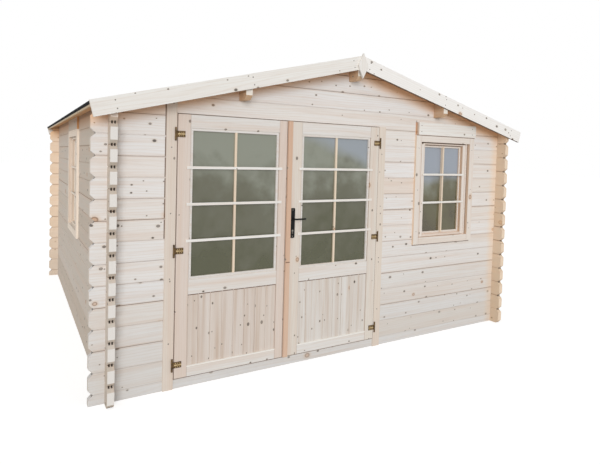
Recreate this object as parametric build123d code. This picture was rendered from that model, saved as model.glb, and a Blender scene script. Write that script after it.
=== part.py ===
from build123d import *

import math
import os

# An interlocking log cabin with a low gable roof, a pair of half-glazed doors and two small windows.
# The origin is the middle of the plan on the ground, the front is -Y and the ridge runs along Y.
# Front and back walls start with half a log, side walls with a whole one, so the corners lock by quarter laps.

# Logs
log_pitch = 140.0
log_thick = 44.0
joint_depth = 5.0
stub_length = 100.0
stub_chamfer = 30.0
side_courses = 14
tongue_width = 7.0
tongue_height = 9.0
tongue_spread = 16.0

# Plan, over the outer faces of the walls
plan_width = 3800.0
plan_depth = 3800.0

# Roof
roof_angle = 14.2
deck_thick = 18.0
felt_thick = 3.0
side_overhang = 120.0
end_overhang = 120.0
barge_width = 105.0
barge_thick = 20.0
barge_rise = 4.0
purlin_width = 50.0
purlin_offset = 975.0
purlin_chamfer = 30.0
ridge_purlin_height = 165.0
ridge_felt_width = 130.0
eave_strip_width = 17.0
eave_strip_thick = 10.0
finial_width = 100.0
finial_height = 200.0
finial_thick = 16.0
finial_drop = 82.0

# Doorway and its frame
door_left = -1450.0
door_right = 300.0
leaf_top = 1905.0
leaf_gap = 5.0
leaf_split = -596.0
leaf_thick = 40.0
leaf_stand = 14.0
jamb_width = 72.0
jamb_web = 45.0
jamb_stand = 10.0
jamb_back = 16.0
stop_lap = 15.0
left_jamb_top = 2022.0
threshold_height = 22.0
head_height = 25.0
head_rebate = 20.0

# Door leaves
hinge_stile = 89.0
left_meeting_stile = 65.0
right_meeting_stile = 130.0
top_rail = 91.0
mid_rail = 103.0
bottom_rail = 75.0
panel_height = 505.0
bead_width = 20.0
bead_depth = 7.0
glass_thick = 4.0
groove_depth = 8.0
panel_thick = 18.0
panel_set_back = 10.0
panel_boards = 8
board_joint = 4.0
strip_width = 36.0
strip_thick = 18.0

# Hinges
barrel_radius = 6.0
barrel_height = 84.0
barrel_reach = 16.0
barrel_stand = 3.0
leaf_knuckle = 42.0
knuckle_gap = 1.0
pin_radius = 2.5
pin_clearance = 0.5
hinge_plate_width = 50.0
hinge_plate_thick = 4.0
hinge_heights = (172.0, 966.0, 1768.0)

# Lever handle
handle_height = 1152.0
handle_inset = 24.0
plate_width = 40.0
plate_height = 233.0
plate_thick = 6.0
plate_above = 84.0
spindle_radius = 4.0
spindle_clearance = 1.0
rose_radius = 9.0
lever_reach = 103.0
lever_height = 12.0
lever_thick = 12.0
lever_stand = 42.0

# Windows
window_width = 760.0
window_height = 1000.0
front_window_x = 1111.0
front_window_top = 1863.0
side_window_y = 0.0
side_window_top = 1833.0
trim_width = 62.0
trim_stand = 20.0
trim_lap = 24.0
casing_face = 27.0
sash_gap = 3.0
sash_stile = 60.0
sash_rail = 42.0
sash_thick = 48.0
sash_set_back = 6.0
sash_bead = 22.0
sash_bead_depth = 26.0
pane_set_back = 8.0
header_height = 113.0
header_reach = 21.0
header_thick = 18.0
slot_width = 29.0
slot_depth = 20.0

# Floor
bearer_height = 45.0
bearer_width = 60.0
bearer_count = 7
board_thick = 19.0
floor_gap = 6.0

# How far cutting shapes run past what they cut
past = 1.0
sky_room = 400.0

half_width = plan_width / 2
half_depth = plan_depth / 2
slope = math.tan(math.radians(roof_angle))
slope_cos = math.cos(math.radians(roof_angle))
slope_sin = math.sin(math.radians(roof_angle))
side_top = side_courses * log_pitch
ridge_under = side_top + (half_width - log_thick) * slope
eave_run = (half_width + side_overhang) / slope_cos
roof_end = half_depth + end_overhang
front_face = -half_depth
front_back = front_face + log_thick
leaf_face = front_face - leaf_stand
leaf_back = leaf_face + leaf_thick
leaf_base = log_pitch / 2 + leaf_gap
purlin_base = 14.5 * log_pitch
above_roof = ridge_under + sky_room
front_window_base = front_window_top - window_height
side_window_base = side_window_top - window_height


def box(x0, x1, y0, y1, z0, z1):
    centre = ((x0 + x1) / 2, (y0 + y1) / 2, (z0 + z1) / 2)
    return Pos(*centre) * Box(x1 - x0, y1 - y0, z1 - z0)


def save(shape, name):
    export_step(shape, f"parts/{name}.step")


def log_joints(first, top):
    """Heights where one log meets the next, from the first up to the top."""
    count = int((top - first) / log_pitch) + 1
    return [first + i * log_pitch for i in range(count) if first + i * log_pitch < top - joint_depth]


def log_face(u0, base, top, joints):
    """Upright section of a log wall: straight faces with a V where two logs meet."""
    inner = [z for z in joints if z > base + joint_depth]
    points = [(u0, base)]
    for z in inner:
        points += [(u0, z - joint_depth), (u0 + joint_depth, z), (u0, z + joint_depth)]
    points += [(u0, top), (u0 + log_thick, top)]
    for z in reversed(inner):
        u1 = u0 + log_thick
        points += [(u1, z + joint_depth), (u1 - joint_depth, z), (u1, z - joint_depth)]
    points.append((u0 + log_thick, base))
    return make_face(Polyline(*points, close=True))


def wall_along_x(x0, x1, y0, base, top):
    section = log_face(y0, base, top, log_joints(log_pitch / 2, top))
    return extrude(Plane.YZ.offset(x0) * section, amount=x1 - x0)


def wall_along_y(x0, y0, y1, base, top):
    section = log_face(x0, base, top, log_joints(0, top))
    return extrude(Plane.XZ.offset(-y1) * section, amount=y1 - y0)


def end_vees(along_x, end, inward, across, joints):
    """Prisms that chamfer the log ends above and below each joint."""
    cuts = []
    for z in joints:
        points = [(end, z - stub_chamfer), (end + inward * stub_chamfer, z), (end, z + stub_chamfer)]
        face = make_face(Polyline(*points, close=True))
        plane = Plane.XZ.offset(-across - log_thick) if along_x else Plane.YZ.offset(across)
        cuts.append(extrude(plane * face, amount=log_thick))
    return cuts


def tongue_slots(along_x, end, inward, across, joints):
    """The two small slots left by the double tongue and groove, open in the vee of the log ends."""
    cuts = []
    depth = stub_chamfer + tongue_height
    for z in joints:
        for side in (-1, 1):
            middle = across + log_thick / 2 + side * tongue_spread / 2
            u0, u1 = sorted((end, end + inward * depth))
            w0, w1 = middle - tongue_width / 2, middle + tongue_width / 2
            z0, z1 = z - tongue_height / 2, z + tongue_height / 2
            cuts.append(box(u0, u1, w0, w1, z0, z1) if along_x else box(w0, w1, u0, u1, z0, z1))
    return cuts


def corner_laps(x_side, y_side, first):
    """Room for the crossing logs in one corner: each keeps the middle half of its height."""
    x0 = -half_width if x_side < 0 else half_width - log_thick
    y0 = -half_depth if y_side < 0 else half_depth - log_thick
    cuts = []
    for course in range(side_courses + 1):
        z0 = first + (course + 0.25) * log_pitch
        cuts.append(box(x0, x0 + log_thick, y0, y0 + log_thick, z0, z0 + log_pitch / 2))
    return cuts


def above_deck():
    """Everything over the underside of the roof deck."""
    reach = half_width + stub_length + side_overhang
    low = ridge_under - reach * slope
    points = [(-reach, low), (0, ridge_under), (reach, low), (reach, above_roof), (-reach, above_roof)]
    face = make_face(Polyline(*points, close=True))
    length = roof_end + stub_length
    return extrude(Plane.XZ.offset(-length) * face, amount=2 * length)


def roof_band(side, n0, n1, y0, y1, run0=None, run1=eave_run):
    """A layer parallel to one roof slope, between two heights over the underside of the deck."""
    def spot(run, n):
        return (side * (run * slope_cos + n * slope_sin), ridge_under - run * slope_sin + n * slope_cos)

    if run0 is None:
        top = [(0, ridge_under + n0 / slope_cos), (0, ridge_under + n1 / slope_cos)]
    else:
        top = [spot(run0, n0), spot(run0, n1)]
    face = make_face(Polyline(*top, spot(run1, n1), spot(run1, n0), close=True))
    return extrude(Plane.XZ.offset(-y1) * face, amount=y1 - y0)


def purlin_tools(x):
    """A purlin's full blank, standing from its seat up through the deck's underside."""
    base = purlin_base if x else ridge_under - ridge_purlin_height
    return box(x - purlin_width / 2, x + purlin_width / 2, -roof_end, roof_end, base, above_roof)


def gable_cuts():
    return [above_deck()] + [purlin_tools(x) for x in (-purlin_offset, 0, purlin_offset)]


def ends_along_x(y0, top):
    joints = log_joints(log_pitch / 2, top)
    cuts = []
    for x_side in (-1, 1):
        end = x_side * (half_width + stub_length)
        cuts += end_vees(True, end, -x_side, y0, joints)
        cuts += tongue_slots(True, end, -x_side, y0, joints)
        cuts += corner_laps(x_side, -1 if y0 < 0 else 1, 0)
    return cuts


def ends_along_y(x0, top):
    joints = log_joints(0, top)
    cuts = []
    for y_side in (-1, 1):
        end = y_side * (half_depth + stub_length)
        cuts += end_vees(False, end, -y_side, x0, joints)
        cuts += tongue_slots(False, end, -y_side, x0, joints)
        cuts += corner_laps(-1 if x0 < 0 else 1, y_side, -log_pitch / 2)
    return cuts


door_cut_left = door_left - leaf_gap - jamb_web
door_cut_right = door_right + leaf_gap + jamb_web
head_base = leaf_top + leaf_gap
first_joint = log_pitch / 2
door_top_joint = first_joint + 13 * log_pitch
wall_end = half_width + stub_length


def front_walls():
    window = box(
        front_window_x - window_width / 2 + trim_lap,
        front_window_x + window_width / 2 - trim_lap,
        front_face - past,
        front_back + past,
        front_window_base + trim_lap,
        front_window_top - trim_lap,
    )
    slot = box(
        front_window_x - window_width / 2,
        front_window_x - window_width / 2 + slot_width,
        front_face - past,
        front_face + slot_depth,
        front_window_top,
        front_window_top + header_height,
    )
    ends = ends_along_x(front_face, above_roof)
    bottom = wall_along_x(-wall_end, wall_end, front_face, 0, first_joint) - ends
    left = wall_along_x(-wall_end, door_cut_left, front_face, first_joint, door_top_joint) - ends
    right = wall_along_x(door_cut_right, wall_end, front_face, first_joint, door_top_joint)
    gable = wall_along_x(-wall_end, wall_end, front_face, door_top_joint, ridge_under)
    doorway = box(door_cut_left, door_cut_right, front_face - past, front_back + past, 0, head_base)
    rebate = box(
        door_cut_left, door_cut_right, front_face + head_rebate, front_back + past, 0, head_base + head_height
    )
    save(bottom, "front_bottom_log")
    save(left, "front_wall_left")
    save(right - ends - window - slot, "front_wall_right")
    save(gable - ends - gable_cuts() - doorway - rebate - slot, "front_gable")


def back_wall():
    y0 = half_depth - log_thick
    wall = wall_along_x(-wall_end, wall_end, y0, 0, ridge_under)
    save(wall - ends_along_x(y0, above_roof) - gable_cuts(), "back_wall")


def side_walls():
    end = half_depth + stub_length
    window = box(
        -half_width - past,
        -half_width + log_thick + past,
        side_window_y - window_width / 2 + trim_lap,
        side_window_y + window_width / 2 - trim_lap,
        side_window_base + trim_lap,
        side_window_top - trim_lap,
    )
    slot = box(
        -half_width - past,
        -half_width + slot_depth,
        side_window_y - window_width / 2,
        side_window_y - window_width / 2 + slot_width,
        side_window_top,
        side_window_top + header_height,
    )
    for name, x0 in (("left_wall", -half_width), ("right_wall", half_width - log_thick)):
        wall = wall_along_y(x0, -end, end, 0, side_top)
        wall = wall - ends_along_y(x0, side_top) - above_deck()
        if name == "left_wall":
            wall = wall - window - slot
        save(wall, name)


def jamb(side, top):
    """Door post that wraps the log ends: front plate, web between the logs' ends, back plate and stop."""
    edge = door_left - leaf_gap if side < 0 else door_right + leaf_gap

    def across(a, b, y0, y1, z0, z1):
        x0, x1 = sorted((edge + side * a, edge + side * b))
        return box(x0, x1, y0, y1, z0, z1)

    back_face = front_back + jamb_back
    front = across(0, jamb_width, front_face - jamb_stand, front_face, 0, top)
    web = across(0, jamb_web, front_face, front_back, first_joint, head_base)
    back = across(0, jamb_width, front_back, back_face, first_joint, head_base + jamb_width)
    stop = across(-stop_lap, 0, leaf_back + leaf_gap, back_face, first_joint, head_base)
    return front + web + back + stop


def door_frame():
    inner_left = door_left - leaf_gap
    inner_right = door_right + leaf_gap
    back_face = front_back + jamb_back
    stop_face = leaf_back + leaf_gap
    save(jamb(-1, left_jamb_top), "door_jamb_left")
    save(jamb(1, head_base), "door_jamb_right")
    rebate_face = front_face + head_rebate
    head = box(door_cut_left, door_cut_right, rebate_face, front_back, head_base, head_base + head_height)
    head += box(inner_left, inner_right, front_back, back_face, head_base, head_base + jamb_width)
    head += box(
        inner_left + stop_lap, inner_right - stop_lap, stop_face, back_face, head_base - stop_lap, head_base
    )
    save(head, "door_head")
    sill = box(
        inner_left + stop_lap,
        inner_right - stop_lap,
        stop_face,
        back_face,
        first_joint,
        first_joint + threshold_height,
    )
    save(sill, "door_sill")


def leaf_sizes(side):
    """Left and right edges of a leaf, then the inner edges of its stiles."""
    if side == "left":
        x0, x1 = door_left, leaf_split - leaf_gap
        return x0, x1, x0 + hinge_stile, x1 - left_meeting_stile
    x0, x1 = leaf_split, door_right
    return x0, x1, x0 + right_meeting_stile, x1 - hinge_stile


def door_leaf(side):
    x0, x1, inner0, inner1 = leaf_sizes(side)
    panel_base = leaf_base + bottom_rail
    panel_top = panel_base + panel_height
    glass_base = panel_top + mid_rail
    glass_top = leaf_top - top_rail
    middle = (leaf_face + leaf_back) / 2

    frame = box(x0, x1, leaf_face, leaf_back, leaf_base, leaf_top)
    frame -= box(inner0, inner1, leaf_face - past, leaf_back + past, panel_base, panel_top)
    sight = (inner0 + bead_width, inner1 - bead_width, glass_base + bead_width, glass_top - bead_width)
    frame -= box(sight[0], sight[1], leaf_face - past, leaf_back + past, sight[2], sight[3])
    for y0, y1 in ((leaf_face - past, leaf_face + bead_depth), (leaf_back - bead_depth, leaf_back + past)):
        frame -= box(inner0, inner1, y0, y1, glass_base, glass_top)

    pane = box(
        sight[0] - groove_depth,
        sight[1] + groove_depth,
        middle - glass_thick / 2,
        middle + glass_thick / 2,
        sight[2] - groove_depth,
        sight[3] + groove_depth,
    )
    panel_face = leaf_face + panel_set_back
    panel = box(
        inner0 - groove_depth,
        inner1 + groove_depth,
        panel_face,
        panel_face + panel_thick,
        panel_base - groove_depth,
        panel_top + groove_depth,
    )
    frame = frame - pane - panel
    pitch = (inner1 - inner0 + 2 * groove_depth) / panel_boards
    for i in range(1, panel_boards):
        x = inner0 - groove_depth + i * pitch
        for y in (panel_face, panel_face + panel_thick):
            vee = Pos(x, y, (panel_base + panel_top) / 2) * Rot(0, 0, 45)
            panel -= vee * Box(board_joint, board_joint, panel_height + 4 * groove_depth)

    if side == "right":
        frame -= spindle_hole()
    save(frame, f"{side}_door_frame")
    save(panel, f"{side}_door_panel")
    save(pane, f"{side}_door_glass")


def hinge_axis(side):
    x = door_left - barrel_reach if side == "left" else door_right + barrel_reach
    return x, leaf_face - barrel_stand


def hinges():
    frame_parts = []
    for side in ("left", "right"):
        x, y = hinge_axis(side)
        inward = 1 if side == "left" else -1
        leaf_parts = []
        for z in hinge_heights:
            bore = Pos(x, y, z) * Cylinder(pin_radius + pin_clearance, leaf_knuckle + 2 * past)
            plate_x = sorted((x, x + inward * (barrel_reach + hinge_plate_width)))
            half = leaf_knuckle / 2
            plate = box(*plate_x, leaf_face - hinge_plate_thick, leaf_face, z - half, z + half)
            knuckle = Pos(x, y, z) * Cylinder(barrel_radius, leaf_knuckle)
            leaf_parts.append(plate + knuckle - bore)
            frame_parts.append(frame_hinge(x, y, z))
        save(Compound(leaf_parts), f"{side}_door_hinges")
    save(Compound(frame_parts), "frame_hinges")


def frame_hinge(x, y, z):
    """Fixed half of a hinge: a knuckle above and below on one pin, each with a lug on the door post."""
    part = Pos(x, y, z) * Cylinder(pin_radius, barrel_height)
    length = (barrel_height - leaf_knuckle) / 2 - knuckle_gap
    for sign in (-1, 1):
        middle = z + sign * (barrel_height - length) / 2
        lug = box(
            x - barrel_radius / 2,
            x + barrel_radius / 2,
            y,
            front_face - jamb_stand,
            middle - length / 2,
            middle + length / 2,
        )
        part += Pos(x, y, middle) * Cylinder(barrel_radius, length) + lug
    return part


def spindle_spot():
    return leaf_split + strip_width + handle_inset, handle_height


def spindle_hole():
    x, z = spindle_spot()
    hole = Cylinder(spindle_radius + spindle_clearance, leaf_thick + 2 * plate_thick + 2 * past)
    return Pos(x, (leaf_face + leaf_back) / 2, z) * Rot(90, 0, 0) * hole


def door_furniture():
    x, z = spindle_spot()
    strip = box(leaf_split, leaf_split + strip_width, leaf_face - strip_thick, leaf_face, leaf_base, leaf_top)
    save(strip, "door_cover_strip")
    plates = []
    for y0, y1 in ((leaf_face - plate_thick, leaf_face), (leaf_back, leaf_back + plate_thick)):
        base = z + plate_above - plate_height
        plate = box(x - plate_width / 2, x + plate_width / 2, y0, y1, base, base + plate_height)
        plates.append(plate - spindle_hole())
    save(Compound(plates), "handle_plates")
    reach = lever_stand + plate_thick
    y0, y1 = leaf_face - reach, leaf_back + reach
    lever = Pos(x, (y0 + y1) / 2, z) * Rot(90, 0, 0) * Cylinder(spindle_radius, y1 - y0)
    for y in (y0, y1):
        arm = Pos(x + lever_reach / 2, y, z) * Box(lever_reach, lever_thick, lever_height)
        boss = Pos(x, y, z) * Rot(90, 0, 0) * Cylinder(rose_radius, lever_thick)
        lever += arm + boss
    lever = fillet(lever.edges().filter_by(Axis.X), lever_height / 4)
    save(lever, "door_handle")


def window_unit():
    """Frame, sash and pane of a window whose outer face looks along -Y, with its lower left corner at 0, 0."""
    w, h = window_width, window_height
    back = log_thick + trim_stand
    sash_back = sash_set_back + sash_thick

    def layer(side_margin, rail_margin, y0, y1):
        return box(side_margin, w - side_margin, y0, y1, rail_margin, h - rail_margin)

    side = trim_width + casing_face
    frame = layer(0, 0, -trim_stand, 0) + layer(0, 0, log_thick, back) + layer(trim_lap, trim_lap, 0, log_thick)
    frame -= layer(trim_width, trim_width, -trim_stand - past, sash_set_back)
    frame -= layer(side, trim_width, sash_set_back, sash_back)
    frame -= layer(side + stop_lap, trim_width + stop_lap, sash_back, back + past)

    stile, rail = side + sash_gap, trim_width + sash_gap
    sight = (stile + sash_stile, rail + sash_rail)
    bead = (sight[0] - sash_bead, sight[1] - sash_bead)
    sash = layer(stile, rail, sash_set_back, sash_back)
    sash -= layer(*sight, sash_set_back - past, sash_back + past)
    sash -= layer(*bead, sash_set_back - past, sash_set_back + sash_bead_depth)
    pane_face = sash_set_back + sash_bead_depth + pane_set_back
    pane = layer(sight[0] - groove_depth, sight[1] - groove_depth, pane_face, pane_face + glass_thick)
    return frame, sash - pane, pane


def window_header(slot_first):
    """Board over a window, which leaves a slot at one end and runs past the trim at the other."""
    x0 = slot_width if slot_first else -header_reach
    length = window_width + header_reach - slot_width
    return box(x0, x0 + length, -header_thick, 0, window_height, window_height + header_height)


def windows():
    front = Pos(front_window_x - window_width / 2, front_face, front_window_base)
    side = Pos(-half_width, side_window_y + window_width / 2, side_window_base) * Rot(0, 0, -90)
    for name, place in (("front", front), ("left", side)):
        frame, sash, pane = window_unit()
        save(place * frame, f"{name}_window_frame")
        save(place * sash, f"{name}_window_sash")
        save(place * pane, f"{name}_window_glass")
    save(front * window_header(True), "front_window_header")
    save(side * window_header(False) - above_deck(), "left_window_header")


def roof():
    for name, side in (("left", -1), ("right", 1)):
        save(roof_band(side, 0, deck_thick, -roof_end, roof_end), f"{name}_roof_boards")
        felt = roof_band(side, deck_thick, deck_thick + felt_thick, -roof_end, roof_end)
        lip = roof_band(
            side, 0, deck_thick + felt_thick, -roof_end, roof_end, eave_run, eave_run + felt_thick
        )
        save(felt + lip, f"{name}_roof_felt")
    cap = [
        roof_band(
            side,
            deck_thick + felt_thick,
            deck_thick + 2 * felt_thick,
            -roof_end,
            roof_end,
            None,
            ridge_felt_width,
        )
        for side in (-1, 1)
    ]
    save(cap[0] + cap[1], "ridge_felt")
    strips = [
        roof_band(
            side, -eave_strip_thick, 0, -roof_end, roof_end, eave_run - eave_strip_width, eave_run
        )
        for side in (-1, 1)
    ]
    save(Compound(strips), "eave_strips")


def bargeboards():
    top = deck_thick + felt_thick + barge_rise
    for end, y0 in (("front", -roof_end - barge_thick), ("back", roof_end)):
        for name, side in (("left", -1), ("right", 1)):
            board = roof_band(
                side, top - barge_width, top, y0, y0 + barge_thick, None, eave_run + felt_thick
            )
            save(board, f"{end}_bargeboard_{name}")
    lozenges = []
    z = ridge_under + top / slope_cos - finial_drop
    for y in (-roof_end - barge_thick - finial_thick, roof_end + barge_thick):
        points = [
            (0, z - finial_height / 2),
            (finial_width / 2, z),
            (0, z + finial_height / 2),
            (-finial_width / 2, z),
        ]
        face = make_face(Polyline(*points, close=True))
        lozenges.append(extrude(Plane.XZ.offset(-y - finial_thick) * face, amount=finial_thick))
    save(Compound(lozenges), "gable_finials")


def purlin(x):
    blank = purlin_tools(x) - above_deck()
    base = blank.bounding_box().min.Z
    for y_side in (-1, 1):
        end = y_side * roof_end
        points = [(end, base), (end - y_side * purlin_chamfer, base), (end, base + purlin_chamfer)]
        face = make_face(Polyline(*points, close=True))
        blank -= extrude(Plane.YZ.offset(x - purlin_width) * face, amount=2 * purlin_width)
    return blank


def purlins():
    save(purlin(0), "ridge_purlin")
    save(Compound([purlin(-purlin_offset), purlin(purlin_offset)]), "side_purlins")


def floor():
    x = half_width - log_thick - floor_gap
    y = half_depth - log_thick - jamb_back - floor_gap
    bearers = []
    for i in range(bearer_count):
        middle = -y + bearer_width / 2 + i * (2 * y - bearer_width) / (bearer_count - 1)
        bearers.append(box(-x, x, middle - bearer_width / 2, middle + bearer_width / 2, 0, bearer_height))
    save(Compound(bearers), "floor_bearers")
    save(box(-x, x, -y, y, bearer_height, bearer_height + board_thick), "floor_boards")


os.makedirs("parts", exist_ok=True)
front_walls()
back_wall()
side_walls()
door_frame()
for leaf in ("left", "right"):
    door_leaf(leaf)
hinges()
door_furniture()
windows()
roof()
bargeboards()
purlins()
floor()
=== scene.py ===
import math

import bmesh
import bpy
from mathutils import Matrix, Vector


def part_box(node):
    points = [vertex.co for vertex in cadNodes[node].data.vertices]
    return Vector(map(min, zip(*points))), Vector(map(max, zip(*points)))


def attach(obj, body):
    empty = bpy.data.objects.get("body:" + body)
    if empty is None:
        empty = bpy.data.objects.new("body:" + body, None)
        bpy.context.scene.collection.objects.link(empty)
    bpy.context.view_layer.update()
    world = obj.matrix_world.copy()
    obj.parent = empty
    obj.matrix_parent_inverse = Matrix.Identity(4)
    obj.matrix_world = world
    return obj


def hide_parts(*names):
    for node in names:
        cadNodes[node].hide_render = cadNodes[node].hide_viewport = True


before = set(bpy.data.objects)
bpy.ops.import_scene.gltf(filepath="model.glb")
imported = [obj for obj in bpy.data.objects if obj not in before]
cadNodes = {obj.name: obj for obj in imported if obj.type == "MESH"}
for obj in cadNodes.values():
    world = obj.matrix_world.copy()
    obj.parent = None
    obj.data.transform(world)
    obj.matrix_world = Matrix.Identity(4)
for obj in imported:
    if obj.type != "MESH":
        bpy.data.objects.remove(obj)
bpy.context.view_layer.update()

print("frame loaded:", len(cadNodes), "nodes")


def tint(red, green, blue):
    # a colour as it is seen on a screen, 0 to 255, turned into what the shader wants
    def straight(value):
        value = value / 255
        return value / 12.92 if value <= 0.04045 else ((value + 0.055) / 1.055) ** 2.4
    return (straight(red), straight(green), straight(blue), 1.0)


class Value:
    # wraps an output, so that shader maths can be written as plain maths
    def __init__(self, graph, socket):
        self.graph, self.socket = graph, socket

    def op(self, operation, *others):
        return self.graph.add("Math", {"operation": operation}, (self, *others))

    def __add__(self, other):
        return self.op("ADD", other)

    __radd__ = __add__

    def __sub__(self, other):
        return self.op("SUBTRACT", other)

    def __rsub__(self, other):
        return self.graph.add("Math", {"operation": "SUBTRACT"}, (other, self))

    def __mul__(self, other):
        return self.op("MULTIPLY", other)

    __rmul__ = __mul__

    def __truediv__(self, other):
        return self.op("DIVIDE", other)

    def fade(self, start, end, low=0.0, high=1.0):
        # from low at start to high at end, level outside, with soft shoulders
        settings = {"interpolation_type": "SMOOTHSTEP"}
        return self.graph.add("MapRange", settings, (self, start, end, low, high))

    def between(self, low, high):
        return self.op("GREATER_THAN", low) * self.op("LESS_THAN", high)

    def other(self, name):
        return Value(self.graph, self.socket.node.outputs[name])


class Graph:
    def __init__(self, tree):
        self.nodes, self.links = tree.nodes, tree.links
        self.nodes.clear()

    def add(self, kind, settings=None, sockets=(), out=0):
        node = self.nodes.new("ShaderNode" + kind)
        for key, value in (settings or {}).items():
            if key == "stops":
                self.setStops(node.color_ramp, value)
            else:
                setattr(node, key, value)
        pairs = sockets.items() if isinstance(sockets, dict) else enumerate(sockets)
        for key, value in pairs:
            if isinstance(value, Value):
                self.links.new(value.socket, node.inputs[key])
            else:
                node.inputs[key].default_value = value
        return Value(self, node.outputs[out]) if node.outputs else node

    def setStops(self, ramp, stops):
        while len(ramp.elements) < len(stops):
            ramp.elements.new(1.0)
        for element, (position, colour) in zip(ramp.elements, stops):
            element.position, element.color = position, colour

    def mix(self, factor, first, second, blend="MIX"):
        settings = {"data_type": "RGBA", "blend_type": blend}
        return self.add("Mix", settings, {0: factor, 6: first, 7: second}, out=2)

    def vector(self, x, y, z):
        return self.add("CombineXYZ", {}, (x, y, z))

    def parts(self, vector):
        x = self.add("SeparateXYZ", {}, (vector,))
        return x, x.other("Y"), x.other("Z")

    def dot(self, vector, axis):
        return self.add("VectorMath", {"operation": "DOT_PRODUCT"}, (vector, axis), out="Value")

    def noise(self, vector, scale=1.0, detail=2.0, roughness=0.5):
        sockets = {"Vector": vector, "Scale": scale, "Detail": detail, "Roughness": roughness}
        return self.add("TexNoise", {}, sockets)

    def surface(self, sockets):
        shader = self.add("BsdfPrincipled", {}, sockets)
        self.add("OutputMaterial", {}, {"Surface": shader})


def newMaterial(name):
    material = bpy.data.materials.new(name)
    material.use_nodes = True
    return material, Graph(material.node_tree)


axisX, axisY, axisZ = (1.0, 0.0, 0.0), (0.0, 1.0, 0.0), (0.0, 0.0, 1.0)

# the walls: height of a log, and how far a wall's face and middle are from the middle of the cabin
logPitch, wallFace, wallMiddle = 0.14, 1.9, 1.878
# the roof: its slope, half its width and length, and the underside of its boards at the ridge
roofAngle = math.radians(14.2)
slopeCos, slopeSin = math.cos(roofAngle), math.sin(roofAngle)
roofHalf, roofEnd, ridgeUnder = 2.02, 2.02, 2.4296402
eaveRun = roofHalf / slopeCos
roofCount, floorCount, floorHalf = 42, 30, 1.85

# what every piece of bare softwood shares; a finish below changes what it needs
# two numbers are where an effect starts and where it is full, or a pattern's scale along and across
woodLook = {
    "along": axisX, "across": axisZ, "through": axisY, "seed": 0.0,
    "first": 0.0, "pitch": 0.0, "cut": None, "rails": None, "railTones": None, "railGap": 0.35,
    "tones": [(0.0, tint(234, 231, 228)), (0.3, tint(239, 238, 238)), (0.55, tint(233, 226, 219)),
              (0.78, tint(240, 240, 240)), (1.0, tint(233, 221, 211))],
    "heart": tint(221, 199, 182), "heartAmount": 0.48, "streakScale": (0.8, 21.0),
    "ring": tint(210, 186, 162), "ringAmount": 0.13, "ringPitch": 0.021, "ringWave": 5.0,
    "driftScale": (0.9, 8.0),
    "fibre": tint(204, 185, 165), "fibreAmount": 0.22, "fibreScale": (5.0, 170.0),
    "knots": {"along": 7.5, "across": 10.5, "share": 0.5, "small": 0.028, "large": 0.085, "strength": 1.0,
              "core": tint(54, 50, 48), "rim": tint(92, 80, 70), "halo": tint(214, 200, 184)},
    "brownKnots": {"along": 2.3, "across": 2.9, "share": 0.12, "small": 0.028, "large": 0.052,
                   "strength": 0.65, "core": tint(196, 150, 112), "rim": tint(138, 98, 70),
                   "halo": tint(220, 190, 160)},
    "gap": tint(138, 98, 64), "gapWidth": 0.003, "gapLeast": 0.1,
    "bevelLine": 0.0, "bevelAt": 0.0085, "bevelWidth": (0.0028, 0.0012),
    "slots": 0.0, "slotLook": {"apart": 0.009, "half": (0.0065, 0.0045), "rise": (0.011, 0.008),
                               "tone": tint(52, 40, 32), "amount": 0.95},
    # painted warm shade on the faces inside the front's openings
    "cutFaces": {"half": 0.0155, "within": 1.84, "tone": tint(218, 172, 130), "amount": 0.8},
    # painted shadow lines, with the cover strip's dark joint, and painted highlights
    "seams": (), "seamWidth": (0.0036, 0.003), "lights": (), "lightWidth": (0.0048, 0.0034),
    "lineAmount": 0.9, "bright": tint(252, 250, 244),
    # painted shade that darkens the lowest logs
    "splash": tint(184, 182, 177), "splashAmount": 0.0, "splashRise": 1.1,
    "endGrain": tint(234, 225, 214), "endRing": tint(212, 192, 170), "endPitch": 0.0045, "endAmount": 0.45,
    # painted shade under the roof: its warm tan and how deep that reaches
    "underRoof": 0.0, "fresh": tint(246, 196, 148), "freshDepth": (0.17, 0.04),
    "deepShade": tint(96, 64, 42), "shadeDepth": (0.045, 0.02),
    # painted warm shade on log ends by the corners
    "stubs": 0.0, "stubFrom": (1.86, 1.93), "stubTone": tint(246, 212, 172), "freshEnds": None,
    # painted light in window openings, and painted shade on the lower edges of boards
    "reveal": 0.0, "revealTone": tint(242, 208, 172), "sillTone": tint(246, 214, 190), "shadedEdge": 0.0,
    "roughness": 0.66, "relief": 0.22, "reliefDepth": 0.0012,
}
# how far pieces, rails, cut logs and boards lie apart in the random patterns
spread = {"piece": 71.0, "rail": 17.0, "cut": 29.0, "along": 9.0, "across": 5.0, "knots": 3.3}


def addKnots(graph, colour, u, v, plenty, look):
    # round knots scattered over a board, each in a paler ring of turned grain
    place = graph.vector(u * look["along"], v * look["across"], 0.0)
    sockets = {"Vector": place, "Scale": 1.0, "Randomness": 1.0}
    spots = graph.add("TexVoronoi", {"voronoi_dimensions": "2D"}, sockets)
    sizeChance, shareChance, darkChance = graph.parts(spots.other("Color"))
    away = spots / (look["small"] + (look["large"] - look["small"]) * sizeChance * sizeChance)
    present = shareChance.op("LESS_THAN", look["share"] * plenty)
    core = away.fade(1.2, 0.7) * present * (0.45 + 0.55 * darkChance)
    rim = away.fade(1.4, 1.1) * away.fade(0.6, 0.9) * present
    halo = away.fade(2.8, 0.9) * present
    colour = graph.mix(halo * 0.5, colour, look["halo"])
    colour = graph.mix(core * look["strength"], colour, look["core"])
    return graph.mix(rim * 0.7, colour, look["rim"]), core


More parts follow.
